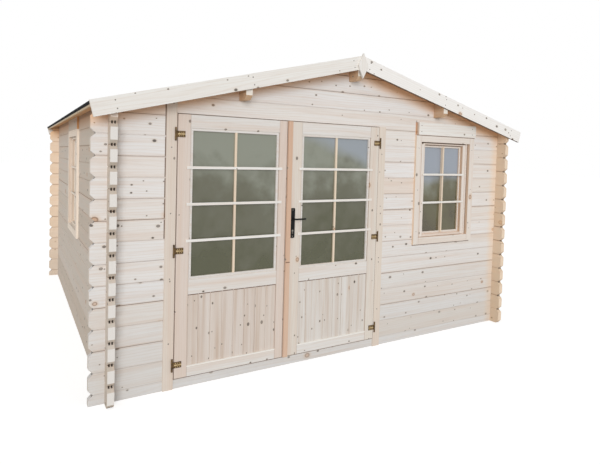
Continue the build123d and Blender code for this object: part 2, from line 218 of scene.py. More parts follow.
def softwood(name, **changes):
    look = {**woodLook, **changes}
    material, graph = newMaterial(name)
    place = graph.add("TexCoord", out="Object")
    u, v, w = (graph.dot(place, look[key]) for key in ("along", "across", "through"))
    joint, level, board, strength = None, None, 0.0, 1.0
    if look["rails"]:  # level pieces between two uprights: their grain turns
        low, high = look["rails"]
        level = v.between(low, high)
        joint = (v - low).op("ABSOLUTE").op("MINIMUM", (v - high).op("ABSOLUTE"))
        u, v = u + level * (v - u), v + level * (u - v)
        strength = look["railGap"]
    section = graph.add("ObjectInfo", out="Random") * spread["piece"] + look["seed"]
    if look["pitch"]:
        step = (v - look["first"]) / look["pitch"]
        board = step.op("FLOOR")
        joint = (0.5 - (step.op("FRACT") - 0.5).op("ABSOLUTE")) * look["pitch"]
        nearest = graph.vector((step + 0.5).op("FLOOR"), look["seed"], 0.71)
        strength = graph.add("TexWhiteNoise", {}, {"Vector": nearest}).fade(0.0, 1.0, look["gapLeast"], 1.0)
    if level:
        section = section + level * spread["rail"]
    if look["cut"]:  # logs stop on each side of an opening, so their tones differ
        middle, low, high = look["cut"]
        section = section + u.op("GREATER_THAN", middle) * v.between(low, high) * spread["cut"]
    chance = graph.add("TexWhiteNoise", {}, {"Vector": graph.vector(board, section, 0.37)}, out="Color")
    toneChance, shiftAlong, shiftAcross = graph.parts(chance)
    u2, v2 = u + shiftAlong * spread["along"], v + shiftAcross * spread["across"]

    def grain(scale, detail, roughness=0.5):
        # noise drawn out along the board
        long, fine = look[scale]
        return graph.noise(graph.vector(u2 * long, v2 * fine, w * fine), 1.0, detail, roughness)

    drift = grain("driftScale", 1.0)
    phase = v2 / look["ringPitch"] + drift * look["ringWave"]
    rings = (phase * (2 * math.pi)).op("SINE").fade(0.1, 1.0)
    fibre = grain("fibreScale", 2.0, 0.6)
    streak = grain("streakScale", 3.0, 0.55)

    colour = graph.add("ValToRGB", {"stops": look["tones"]}, (toneChance,))
    if look["railTones"]:
        railColour = graph.add("ValToRGB", {"stops": look["railTones"]}, (toneChance,))
        colour = graph.mix(level, colour, railColour)

    def paint(amount, tone):
        # lays a tone over the colour so far
        nonlocal colour
        colour = graph.mix(amount, colour, tone)

    paint(streak.fade(0.42, 0.78) * look["heartAmount"], look["heart"])
    paint(rings * look["ringAmount"], look["ring"])
    paint(fibre.fade(0.5, 0.75) * look["fibreAmount"], look["fibre"])
    plenty = 0.35 + 1.3 * shiftAlong  # some boards have many knots, some have few
    colour, core = addKnots(graph, colour, u2, v2, plenty, look["knots"])
    colour, brownCore = addKnots(graph, colour, u2 + spread["knots"], v2, plenty, look["brownKnots"])

    normal = graph.add("TexCoord", out="Normal")
    facing = graph.dot(normal, look["along"]).op("ABSOLUTE").fade(0.8, 0.95)
    span = graph.add("VectorMath", {"operation": "LENGTH"}, (graph.vector(v, w, 0.0),), out="Value")
    turns = span * (2 * math.pi / look["endPitch"]) + drift * look["ringWave"]
    endRings = turns.op("SINE").fade(-0.2, 1.0) * look["endAmount"]
    paint(facing, graph.mix(endRings, look["endGrain"], look["endRing"]))

    x, y, z = graph.parts(place)
    if look["underRoof"]:  # painted shade under the roof: a warm tan fading down from it, and a brown band right under it
        depth = (ridgeUnder - z) * slopeCos - x.op("ABSOLUTE") * slopeSin
        ripple = (streak - 0.5) * 0.05
        paint((depth + ripple).fade(*look["freshDepth"]) * look["underRoof"], look["fresh"])
        paint(depth.fade(*look["shadeDepth"]) * look["underRoof"], look["deepShade"])
    if look["stubs"]:  # painted warm shade on the sheltered log ends beyond a corner
        beyond = y.op("ABSOLUTE") + (streak - 0.5) * 0.03
        paint(beyond.fade(*look["stubFrom"]) * look["stubs"], look["stubTone"])
    if look["freshEnds"]:  # painted warm shade on one end of the front and back logs, next to the corner
        way, start, end, amount = look["freshEnds"]
        paint((x * way + (streak - 0.5) * 0.05).fade(start, end) * amount, look["stubTone"])
    if look["reveal"]:  # painted light inside a window opening: a warm tan on its side faces and a warm cream on its upward faces
        aside = graph.dot(normal, look["across"]).op("ABSOLUTE").fade(0.7, 0.9)
        upward = graph.dot(normal, axisZ).fade(0.7, 0.9)
        paint(aside * look["reveal"], look["revealTone"])
        paint(upward * look["reveal"], look["sillTone"])
    if look["shadedEdge"]:  # the lower edge of a board that is never in the light
        below = graph.dot(normal, look["across"]).fade(-0.75, -0.9)
        paint(below * look["shadedEdge"], look["deepShade"])
    if look["splashAmount"]:  # painted shade: the lowest logs are painted a little darker and greyer, fading out upwards
        dirt = (z + (drift - 0.5) * 0.2).fade(look["splashRise"], 0.0)
        paint(dirt * look["splashAmount"], look["splash"])
    if look["bevelLine"]:  # where a log's bevel starts, above and below its joint
        bevel = (joint - look["bevelAt"]).op("ABSOLUTE").fade(*look["bevelWidth"]) * strength
        paint(bevel * look["bevelLine"], look["ring"])
    if joint is not None:
        line = joint.fade(look["gapWidth"], look["gapWidth"] * 0.5) * strength
        paint(line * 0.9, look["gap"])
    if look["slots"]:  # the two dark slots of the double tongue, in the end of each joint
        slot = look["slotLook"]
        aside = (w.op("ABSOLUTE") - look["slots"]).op("ABSOLUTE") - slot["apart"]
        dark = aside.op("ABSOLUTE").fade(*slot["half"]) * joint.fade(*slot["rise"])
        paint(dark * slot["amount"], slot["tone"])
        # and painted warm shade on the faces inside the openings of the front, behind the wall's face
        cut = look["cutFaces"]
        inside = (look["slots"] - y.op("ABSOLUTE")).op("ABSOLUTE").op("LESS_THAN", cut["half"])
        inside = inside * x.op("ABSOLUTE").op("LESS_THAN", cut["within"])
        paint(inside * cut["amount"], cut["tone"])

    def stroke(axis, at, low, high, width):
        # a straight line: on which axis and where it lies, and between which places on the other axis
        over, along = (x, z) if axis == "x" else (z, x)
        return (over - at).op("ABSOLUTE").fade(*width) * along.between(low, high)

    flat = graph.dot(normal, look["through"]).op("ABSOLUTE").fade(0.7, 0.9) if look["seams"] else 1.0
    for seam in look["seams"]:  # painted shadow lines on a face, in the gaps where two pieces meet and under their edges; in the cover strip, its dark joint
        paint(stroke(*seam, look["seamWidth"]) * flat * look["lineAmount"], look["deepShade"])
    for edge in look["lights"]:  # painted highlights on planed edges that catch the light
        paint(stroke(*edge, look["lightWidth"]) * look["lineAmount"], look["bright"])

    height = fibre * 0.5 + rings * 0.3 + core * 0.6 + brownCore * 0.4
    relief = {"Strength": look["relief"], "Distance": look["reliefDepth"], "Height": height}
    bump = graph.add("Bump", {}, relief, out="Normal")
    roughness = look["roughness"] + fibre * 0.2
    graph.surface({"Base Color": colour, "Roughness": roughness, "Normal": bump, "Specular IOR Level": 0.3})
    return material


sideways = {"along": axisY, "across": axisZ, "through": axisX}
upright = {"along": axisZ, "across": axisX, "through": axisY}
uprightSide = {"along": axisZ, "across": axisY, "through": axisX}
downLeft = {"along": (-slopeCos, 0.0, -slopeSin), "across": (-slopeSin, 0.0, slopeCos), "through": axisY}
downRight = {"along": (slopeCos, 0.0, -slopeSin), "across": (slopeSin, 0.0, slopeCos), "through": axisY}
boardsLeft = {"along": downLeft["along"], "across": axisY, "through": downLeft["across"]}
boardsRight = {"along": downRight["along"], "across": axisY, "through": downRight["across"]}


def spaced(*colours):
    # the stops of a colour ramp, at equal steps
    return [(index / (len(colours) - 1), tint(*colour)) for index, colour in enumerate(colours)]


whiteTones = spaced((240, 238, 233), (243, 241, 238), (238, 234, 228))
trimTones = spaced((234, 226, 218), (238, 232, 226), (230, 218, 208))
railTones = spaced((229, 226, 222), (233, 230, 227))
# the side walls' logs are painted darker than the front's: painted shade
sideTones = [(0.0, tint(210, 200, 187)), (0.35, tint(216, 207, 197)), (0.7, tint(204, 192, 178)),
             (1.0, tint(213, 203, 191))]
floorTones = spaced((226, 204, 172), (232, 213, 184), (218, 192, 158))
fewKnots, manyKnots = ({**woodLook["knots"], "share": share} for share in (0.3, 0.7))

# between the stiles of each leaf, and the front window's left edge with its inner edges from there
leftInner, rightInner = (-1.361, -0.666), (-0.466, 0.211)
frontWindow = {"left": 0.731, "trim": (0.062, 0.698), "sash": (0.130, 0.630)}
frontRails, sashRails = ([frontWindow["left"] + at for at in frontWindow[key]] for key in ("trim", "sash"))

# painted shadow lines, and the cover strip's dark joint: the axis, the place on it, and both ends on the
# other axis
doorWidth, doorHeight, stripWidth = (-1.46, 0.31), (0.07, 1.915), (-0.61, -0.53)
topSeam, bottomSeam = (("z", at, *doorWidth) for at in (1.9075, 0.0675))
leftSeam, rightSeam, middleSeam = (("x", at, *doorHeight) for at in (-1.4525, 0.3025, -0.5985))
leftSeams = (topSeam, bottomSeam, leftSeam, middleSeam)
rightSeams = (topSeam, bottomSeam, middleSeam, rightSeam)
railSeam = ("z", 0.6495, -1.4, 0.3)
# painted highlights along the top edges of the bottom rails
leftLip, rightLip = (("z", 0.1475, *inner) for inner in (leftInner, rightInner))
stripJoint = 0.818
stripSeam = ("z", stripJoint, *stripWidth)
postSeam = ("x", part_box("door_jamb_left")[0][0] - 0.0035, 1.05, 2.02)
headerSeam, trimSeam = ("z", 1.8605, 0.7, 1.52), ("z", 0.8555, 0.735, 1.487)
casingSeam = ("x", 1.4255, 0.925, 1.801)
sashSeams = (("z", 1.7945, 0.79, 1.43), ("z", 1.777, 0.87, 1.36))

finishes = {}


def addWoods(woods, **shared):
    # finishes with shared changes to the bare softwood, each with its own besides
    for name, own in woods.items():
        finishes[name] = softwood(name, **shared, **own)


addWoods({
    "frontLogs": {"cut": (1.111, 0.84, 1.89), "freshEnds": (1, 1.74, 1.84, 0.4),
                  "seams": (topSeam, bottomSeam, trimSeam, postSeam)},
    "backLogs": {"seed": 2.0, "freshEnds": (-1, 1.86, 1.92, 0.6)},
}, first=logPitch / 2, pitch=logPitch, underRoof=0.85, slots=wallMiddle, bevelLine=0.45, splashAmount=0.33)
addWoods({
    "sideLogs": {"seed": 3.0, "cut": (0.0, 0.7, 1.82), "endGrain": tint(238, 235, 231),
                 "endRing": tint(218, 206, 194)},
    "rightLogs": {"seed": 4.0, "stubs": 0.45},
}, tones=sideTones, pitch=logPitch, underRoof=0.4, slots=wallMiddle, bevelLine=0.3, **sideways)
addWoods({
    "uprightTrim": {"seed": 5.0, "tones": spaced((229, 218, 206), (231, 222, 212), (225, 212, 200)),
                    "seams": (leftSeam, rightSeam)},
    "uprightBars": {"seed": 26.0, "tones": spaced((240, 224, 202), (238, 218, 194))},
    "frontFrame": {"seed": 7.0, "tones": trimTones, "rails": frontRails, "reveal": 0.6,
                   "seams": (headerSeam, casingSeam)},
    "frontSash": {"seed": 8.0, "tones": trimTones, "rails": sashRails, "reveal": 0.6, "seams": sashSeams},
    "leftLeaf": {"seed": 12.0, "tones": spaced((225, 211, 201), (228, 217, 209), (222, 207, 196)),
                 "railTones": railTones, "rails": leftInner, "seams": leftSeams, "lights": (leftLip,)},
    "rightLeaf": {"seed": 13.0, "tones": spaced((226, 217, 207), (229, 222, 213), (223, 212, 201)),
                  "railTones": railTones, "rails": rightInner, "seams": rightSeams, "lights": (rightLip,)},
    "tanStrip": {"seed": 16.0, "tones": spaced((232, 206, 186), (216, 180, 154)),
                 "heart": tint(208, 164, 136), "cut": (stripJoint, *stripWidth), "seams": (stripSeam,)},
    "finialWood": {"seed": 19.0, "tones": whiteTones, "heartAmount": 0.15},
}, knots=fewKnots, **upright)
addWoods({
    "levelTrim": {"seed": 6.0, "tones": trimTones},
    "frontHeader": {"seed": 27.0, "tones": whiteTones, "heartAmount": 0.2, "seams": (headerSeam,)},
    "barWood": {"seed": 25.0, "tones": whiteTones, "fibre": tint(220, 196, 168)},
    "sideLevel": {"seed": 11.0, "tones": sideTones, "endGrain": tint(226, 172, 122),
                  "endRing": tint(206, 150, 104), **sideways},
}, knots=fewKnots)
addWoods({
    "sideFrame": {"seed": 9.0, "rails": (-0.318, 0.318)},
    "sideSash": {"seed": 10.0, "rails": (-0.25, 0.25)},
}, tones=spaced((250, 236, 220), (252, 241, 228), (248, 231, 212)), heartAmount=0.15, knots=fewKnots,
    **uprightSide)
addWoods({
    "leftPanel": {"seed": 14.0, "tones": spaced((222, 211, 202), (225, 216, 209), (219, 207, 198)),
                  "first": -1.369, "pitch": 0.088875, "heart": tint(194, 170, 150)},
    "rightPanel": {"seed": 15.0, "tones": spaced((225, 221, 216), (229, 226, 222), (222, 216, 210)),
                   "first": -0.474, "pitch": 0.086625, "heart": tint(202, 184, 168)},
}, heartAmount=0.75, knots=manyKnots, gap=tint(164, 138, 116), gapWidth=0.002, gapLeast=0.02,
    seams=(railSeam,), **upright)
addWoods({
    "bargeLeft": {"seed": 17.0, "tones": whiteTones, "heartAmount": 0.15, **downLeft},
    "bargeRight": {"seed": 18.0, "tones": spaced((249, 249, 247), (251, 251, 250), (248, 246, 243)),
                   "heartAmount": 0.1, "fibreAmount": 0.1, **downRight},
}, shadedEdge=0.9)
# the roof boards' own tan, painted more orange for the warm shade under the roof
addWoods({
    "roofLeft": {"seed": 21.0, **boardsLeft},
    "roofRight": {"seed": 22.0, **boardsRight},
}, tones=spaced((222, 172, 118), (230, 188, 138), (212, 158, 104)), first=-roofEnd,
    pitch=2 * roofEnd / roofCount)
addWoods({
    "purlinWood": {"seed": 20.0, "tones": spaced((218, 184, 150), (210, 174, 138)),
                   "endGrain": tint(246, 240, 230)},
    "eaveWood": {"seed": 23.0, "tones": floorTones},
}, **sideways)
addWoods({"floorWood": {"seed": 24.0, "tones": floorTones}}, first=-floorHalf,
         pitch=2 * floorHalf / floorCount, along=axisY, across=axisX, through=axisZ)
print("softwood finishes:", len(finishes))


def glassFinish(name, **changes):
    # plain panes with a painted reflection: paler towards the sky, darker towards the ground
    look = {"sky": tint(168, 176, 184), "skyFrom": 1.62, "skyLean": 0.0, "high": tint(156, 160, 146),
            "middle": tint(116, 116, 98), "low": tint(96, 97, 72), "lowBand": (0.75, 1.3),
            "highBand": (1.25, 1.75), "drift": 1.0, "cloud": 0.6, "alpha": 0.8, "roughness": 0.04, **changes}
    material, graph = newMaterial(name)
    place = graph.add("TexCoord", out="Object")
    x, y, z = graph.parts(place)
    drift = graph.noise(place, scale=2.4)
    cloud = graph.noise(place, scale=9.0, detail=3.0)
    level = z + (drift - 0.5) * look["drift"] + (cloud - 0.5) * look["cloud"]
    colour = graph.mix(level.fade(*look["lowBand"]), look["low"], look["middle"])
    colour = graph.mix(level.fade(*look["highBand"]), colour, look["high"])
    # the painted sky reflection, above a sloping line
    skyLine = z + x * look["skyLean"] + (drift - 0.5) * 0.2
    colour = graph.mix(skyLine.fade(look["skyFrom"] - 0.1, look["skyFrom"] + 0.04), colour, look["sky"])
    haze = graph.noise(place, scale=30.0, detail=3.0)
    graph.surface({"Base Color": colour, "Roughness": look["roughness"] + haze * 0.04,
                   "Alpha": look["alpha"], "Specular IOR Level": 0.6})
    return material


def metalFinish(name, bright, dull, roughness, metallic, gloss=0.5):
    material, graph = newMaterial(name)
    place = graph.add("TexCoord", out="Object")
    cloud = graph.noise(place, scale=45.0, detail=4.0, roughness=0.6)
    scuff = graph.noise(place, scale=260.0)
    colour = graph.mix(cloud.fade(0.35, 0.65), bright, dull)
    bump = graph.add("Bump", {}, {"Strength": 0.12, "Distance": 0.0004, "Height": scuff}, out="Normal")
    graph.surface({"Base Color": colour, "Roughness": roughness + scuff * 0.15,
                   "Metallic": metallic, "Normal": bump, "Specular IOR Level": gloss})
    return material


def feltFinish():
    look = {"dark": tint(17, 17, 18), "worn": tint(34, 34, 35), "grit": tint(74, 74, 74)}
    material, graph = newMaterial("roofingFelt")
    place = graph.add("TexCoord", out="Object")
    cloud = graph.noise(place, scale=2.6, detail=4.0, roughness=0.6)
    grain = graph.noise(place, scale=520.0, roughness=0.7)
    colour = graph.mix(cloud.fade(0.3, 0.7) * 0.6, look["dark"], look["worn"])
    colour = graph.mix(grain.fade(0.58, 0.8) * 0.5, colour, look["grit"])
    bump = graph.add("Bump", {}, {"Strength": 0.6, "Distance": 0.001, "Height": grain}, out="Normal")
    graph.surface({"Base Color": colour, "Roughness": 0.86 + grain * 0.1, "Normal": bump,
                   "Specular IOR Level": 0.1})
    return material


finishes["doorPane"] = glassFinish("doorPane", skyFrom=1.68, skyLean=0.35)
finishes["windowPane"] = glassFinish("windowPane", skyFrom=1.5, sky=tint(172, 180, 192),
                                     middle=tint(114, 110, 84), low=tint(96, 88, 70))
finishes["brass"] = metalFinish("hingeBrass", tint(112, 88, 56), tint(70, 54, 36), 0.42, 0.7)
finishes["brightBrass"] = metalFinish("brightBrass", tint(206, 184, 142), tint(176, 150, 106), 0.34, 0.7)
finishes["steel"] = metalFinish("screwSteel", tint(150, 146, 138), tint(104, 100, 94), 0.4, 0.8)
finishes["black"] = metalFinish("blackMetal", tint(17, 17, 17), tint(11, 11, 11), 0.5, 0.0, 0.2)
finishes["felt"] = feltFinish()

wornBy = {
    "frontLogs": "front_bottom_log front_wall_left front_wall_right front_gable",
    "backLogs": "back_wall", "sideLogs": "left_wall", "rightLogs": "right_wall",
    "uprightTrim": "door_jamb_left door_jamb_right", "levelTrim": "door_head door_sill floor_bearers",
    "leftLeaf": "left_door_frame", "rightLeaf": "right_door_frame", "tanStrip": "door_cover_strip",
    "leftPanel": "left_door_panel", "rightPanel": "right_door_panel",
    "doorPane": "left_door_glass right_door_glass", "windowPane": "front_window_glass left_window_glass",
    "brass": "frame_hinges left_door_hinges right_door_hinges", "black": "handle_plates door_handle",
    "frontFrame": "front_window_frame", "frontSash": "front_window_sash",
    "frontHeader": "front_window_header",
    "sideFrame": "left_window_frame", "sideSash": "left_window_sash", "sideLevel": "left_window_header",
    "roofLeft": "left_roof_boards", "roofRight": "right_roof_boards", "eaveWood": "eave_strips",
    "felt": "left_roof_felt right_roof_felt ridge_felt",
    "bargeLeft": "front_bargeboard_left back_bargeboard_left",
    "bargeRight": "front_bargeboard_right back_bargeboard_right",
    "finialWood": "gable_finials", "purlinWood": "ridge_purlin side_purlins", "floorWood": "floor_boards",
}
nodeFinishes = {name: finish for finish, names in wornBy.items() for name in names.split()}
for name, node in cadNodes.items():
    finish = finishes[nodeFinishes[name]]
    if not node.material_slots:
        node.data.materials.append(finish)
    for slot in node.material_slots:
        slot.material = finish
print("finishes on the CAD nodes:", len(nodeFinishes))


def makePiece(name, mesh, body, finish, rounded=False):
    data = bpy.data.meshes.new(name)
    mesh.to_mesh(data)
    mesh.free()
    if rounded:
        data.polygons.foreach_set("use_smooth", [True] * len(data.polygons))
        data.set_sharp_from_angle(angle=math.radians(38))
    piece = bpy.data.objects.new(name, data)
    bpy.context.scene.collection.objects.link(piece)
    data.materials.append(finishes[finish])
    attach(piece, body)
    return piece


def addBoard(mesh, low, high, bevel):
    # a planed board with its edges broken
    low, high = Vector(low), Vector(high)
    made = bmesh.ops.create_cube(mesh, size=1.0)["verts"]
    for vert in made:
        vert.co = Vector(a * b for a, b in zip(vert.co, high - low)) + (low + high) / 2
    edges = {edge for vert in made for edge in vert.link_edges}
    bmesh.ops.bevel(mesh, geom=list(edges), offset=bevel, segments=2, affect="EDGES", profile=0.6)


def addLoops(mesh, loops, closed=False):
    # skins rings of points that hold one point or equal numbers; open runs get their ends capped
    rings = [[mesh.verts.new(point) for point in loop] for loop in loops]
    count = max(len(ring) for ring in rings)
    pairs = list(zip(rings, rings[1:])) + ([(rings[-1], rings[0])] if closed else [])
    for first, second in pairs:
        for i in range(count):
            j = (i + 1) % count
            corners = [first[i % len(first)], first[j % len(first)],
                       second[j % len(second)], second[i % len(second)]]
            mesh.faces.new(list(dict.fromkeys(corners)))
    if not closed:
        for ring in (rings[0], rings[-1]):
            if len(ring) > 2:
                mesh.faces.new(ring)


def addTurned(mesh, spot, axis, profile, steps=12):
    # a turned form: the profile holds radius and distance along the axis, from end to end
    turn = Vector(axis).to_track_quat("Z", "Y")
    loops = []
    for radius, along in profile:
        angles = [2 * math.pi * i / steps for i in range(steps if radius else 1)]
        loops.append([Vector(spot) + turn @ Vector((radius * math.cos(a), radius * math.sin(a), along))
                      for a in angles])
    addLoops(mesh, loops)


def addScrew(mesh, spot, axis, radius, rise=0.0008):
    # a countersunk screw head with its recess
    addTurned(mesh, spot, axis, [(radius, -0.001), (radius, rise * 0.4), (radius * 0.86, rise),
                                 (radius * 0.42, rise), (radius * 0.3, rise * 0.2), (0.0, rise * 0.2)])


def finished(mesh):
    bmesh.ops.recalc_face_normals(mesh, faces=mesh.faces)
    return mesh


# glazing bars: how far they stand out, are let in and run on out of sight, and the beads round a pane
bars = {"height": 0.019, "past": 0.045, "upWidth": 0.017, "proud": 0.009, "letIn": 0.003, "hidden": 0.01,
        "edge": 0.002, "beadWidth": 0.013, "beadDepth": 0.0055, "beadSunk": 0.002}
leafFace, leafBack, paneFront, paneBack = -1.914, -1.874, -1.896, -1.892
leaves = {
    "left": {"sight": (-1.341, -0.686), "upright": -1.020},
    "right": {"sight": (-0.446, 0.191), "upright": -0.135},
}
barHeights = (1.540, 1.286, 1.032)
sightBase, sightTop = 0.778, 1.794


def addBead(mesh, x0, x1, z0, z1, front, width, depth):
    # a mitred bead round an opening, from its face at front back by its depth
    edge = 0.003
    section = [(0.0, front + depth), (0.0, front + edge), (edge, front), (width - edge, front),
               (width, front + edge), (width, front + depth)]
    loops = []
    for right, top in ((0, 0), (1, 0), (1, 1), (0, 1)):
        loops.append([Vector((x1 + out if right else x0 - out, y, z1 + out if top else z0 - out))
                      for out, y in section])
    addLoops(mesh, loops, closed=True)


def doorBars(side):
    leaf, door = leaves[side], side + "_door"
    x0, x1 = leaf["sight"]
    proud, letIn, hidden, edge = (bars[key] for key in ("proud", "letIn", "hidden", "edge"))
    level, up, beads = (bmesh.new() for kind in range(3))
    for z in barHeights:
        z0, z1 = z - bars["height"] / 2, z + bars["height"] / 2
        for y0, y1 in ((leafFace - proud, leafFace + letIn), (leafBack - letIn, leafBack + proud)):
            addBoard(level, (x0 - bars["past"], y0, z0), (x1 + bars["past"], y1, z1), edge)
    half = bars["upWidth"] / 2
    for y0, y1 in ((leafFace + letIn, paneFront), (paneBack, leafBack - letIn)):
        addBoard(up, (leaf["upright"] - half, y0, sightBase - hidden),
                 (leaf["upright"] + half, y1, sightTop + hidden), edge)
    width, depth, sunk = bars["beadWidth"], bars["beadDepth"], bars["beadSunk"]
    for front in (leafFace + sunk, leafBack - sunk - depth):
        addBead(beads, x0, x1, sightBase, sightTop, front, width, depth)
    makePiece(door + "_level_bars", level, door, "barWood")
    makePiece(door + "_upright_bars", up, door, "uprightBars")
    makePiece(door + "_glazing_beads", finished(beads), door, side + "Leaf")


for side in leaves:
    doorBars(side)
print("door bars and beads made")

windowPlaces = {
    "front": (Matrix.Translation((frontWindow["left"], -wallFace, 0.863)),
              "barWood", "uprightBars", "frontSash"),
    "left": (Matrix.Translation((-wallFace, 0.38, 0.833)) @ Matrix.Rotation(math.radians(-90), 4, "Z"),
             "sideSash", "sideSash", "sideSash"),
}
# both windows are alike: what is seen of the pane, its bars, and their depths behind the wall's face
windowLook = {"x": (0.152, 0.608), "z": (0.107, 0.893), "levels": (0.640, 0.380), "upright": 0.38,
              "outer": (-0.003, 0.010), "inner": (0.052, 0.062), "innerPast": 0.018,
              "upOuter": (0.012, 0.040), "upInner": (0.044, 0.052), "bead": (0.024, 0.012, 0.009)}


def windowBars(name):
    place, levelFinish, upFinish, beadFinish = windowPlaces[name]
    level, up, beads = (bmesh.new() for kind in range(3))
    (x0, x1), (z0, z1) = windowLook["x"], windowLook["z"]
    hidden, edge = bars["hidden"], bars["edge"]
    for z in windowLook["levels"]:
        low, high = z - bars["height"] / 2, z + bars["height"] / 2
        for key, past in (("outer", bars["past"]), ("inner", windowLook["innerPast"])):
            y0, y1 = windowLook[key]
            addBoard(level, (x0 - past, y0, low), (x1 + past, y1, high), edge)
    x, half = windowLook["upright"], bars["upWidth"] / 2
    for key in ("upOuter", "upInner"):
        y0, y1 = windowLook[key]
        addBoard(up, (x - half, y0, z0 - hidden), (x + half, y1, z1 + hidden), edge)
    addBead(beads, x0, x1, z0, z1, *windowLook["bead"])
    for mesh in (level, up, beads):
        bmesh.ops.transform(mesh, matrix=place, verts=mesh.verts)
    makePiece(name + "_window_level_bars", level, "cabin", levelFinish)
    makePiece(name + "_window_upright_bar", up, "cabin", upFinish)
    makePiece(name + "_window_beads", finished(beads), "cabin", beadFinish)


for name in windowPlaces:
    windowBars(name)
print("window bars and beads made")

hinge = {"heights": (0.172, 0.966, 1.768), "barrel": 0.084, "knuckle": 0.042, "strap": 0.004,
         "spots": {"left": (-1.466, 1), "right": (0.316, -1)}, "axisY": -1.917,
         "columns": (0.026, 0.040, 0.054), "rows": (-0.0125, 0.0125), "screw": (0.0040, 0.0010),
         "rib": (0.016, 0.066), "ribHalf": 0.0045, "ribRise": 0.0012, "ribSunk": 0.0005, "ribEdge": 0.0008,
         "rim": [(0.0058, -0.001), (0.0058, 0.0003), (0.0045, 0.0003)],
         "cap": [(0.0064, -0.002), (0.0064, 0.001), (0.0046, 0.0034), (0.0, 0.0042)],
         "ring": [(0.0066, 0.0), (0.0066, 0.0022)]}


def hingeParts(side):
    x, inward = hinge["spots"][side]
    face = leafFace - hinge["strap"]
    rims, screws, caps = (bmesh.new() for kind in range(3))
    for z in hinge["heights"]:
        for column in hinge["columns"]:
            for row in hinge["rows"]:
                spot = (x + inward * column, face, z + row)
                addTurned(rims, spot, (0, -1, 0), hinge["rim"])
                addScrew(screws, spot, (0, -1, 0), *hinge["screw"])
        # a bright raised rib along the middle of each strap
        low, high = sorted(x + inward * reach for reach in hinge["rib"])
        addBoard(screws, (low, face - hinge["ribRise"], z - hinge["ribHalf"]),
                 (high, face + hinge["ribSunk"], z + hinge["ribHalf"]), hinge["ribEdge"])
        for way in (-1, 1):
            end = (x, hinge["axisY"], z + way * hinge["barrel"] / 2)
            addTurned(caps, end, (0, 0, way), hinge["cap"])
            ring = (x, hinge["axisY"], z + way * hinge["knuckle"] / 2)
            addTurned(caps, ring, (0, 0, way), hinge["ring"], 14)
    door = side + "_door"
    makePiece(door + "_hinge_rims", finished(rims), door, "brass", True)
    makePiece(door + "_hinge_screws", finished(screws), door, "brightBrass", True)
    makePiece(door + "_hinge_caps", finished(caps), "cabin", "brass", True)


for side in leaves:
    hingeParts(side)
print("hinge screws and caps made")

lever = {"x": -0.536, "z": 1.152, "stand": 0.042, "reach": 0.103, "half": (0.0058, 0.0062),
         "plateWidth": 0.040, "plateBase": 1.003, "plateTop": 1.236, "plateThick": 0.006,
         "plateCorner": 0.008, "plateEdge": 0.0015, "screwInset": 0.014, "screw": 0.0042, "spindle": 0.004,
         "keyDrop": 0.092, "cover": (0.024, 0.005), "coverHalf": 0.0045, "coverRise": 0.0012,
         "rose": [(0.0125, -0.002), (0.0125, 0.004), (0.0108, 0.006), (0.0085, 0.006)],
         "cylinder": [(0.0082, -0.001), (0.0082, 0.0012), (0.0070, 0.0016), (0.0016, 0.0016),
                      (0.0016, 0.0004), (0.0, 0.0004)]}


def addLever(mesh, face, out):
    # a round bar that leaves the rose, turns along the door and bends back a little at its end
    x, z = lever["x"], lever["z"]
    far = face + out * lever["stand"]
    path = [(x, face), (x, face + out * 0.020), (x, far - out * 0.012), (x + 0.004, far - out * 0.004),
            (x + 0.012, far), (x + 0.060, far), (x + 0.088, far - out * 0.002),
            (x + 0.099, far - out * 0.008), (x + lever["reach"], far - out * 0.014)]
    loops = [[Vector((x, face, z))]]
    for index, (px, py) in enumerate(path):
        before, after = path[max(index - 1, 0)], path[min(index + 1, len(path) - 1)]
        heading = Vector((after[0] - before[0], after[1] - before[1], 0.0)).normalized()
        aside = Vector((-heading.y, heading.x, 0.0))
        a, b = lever["half"]
        loops.append([Vector((px, py, z)) + aside * (a * math.cos(t)) + Vector((0, 0, b * math.sin(t)))
                      for t in (2 * math.pi * i / 14 for i in range(14))])
    tip = path[-1]
    loops.append([Vector((tip[0] + 0.0015, tip[1] - out * 0.001, z))])
    addLoops(mesh, loops)


def addPlate(mesh, face, out):
    # a long plate with rounded corners and a softened front edge
    half, corner = lever["plateWidth"] / 2, lever["plateCorner"]

    def outline(inset, y):
        points = []
        for sx, sz, start in ((1, 1, 0), (-1, 1, 90), (-1, -1, 180), (1, -1, 270)):
            cx = lever["x"] + sx * (half - corner)
            cz = (lever["plateTop"] - corner) if sz > 0 else (lever["plateBase"] + corner)
            for step in range(5):
                turn = math.radians(start + step * 22.5)
                radius = corner - inset
                points.append(Vector((cx + radius * math.cos(turn), y, cz + radius * math.sin(turn))))
        return points

    thick, edge = lever["plateThick"], lever["plateEdge"]
    addLoops(mesh, [outline(0.0, face), outline(0.0, face + out * (thick - edge)),
                    outline(edge, face + out * thick)])


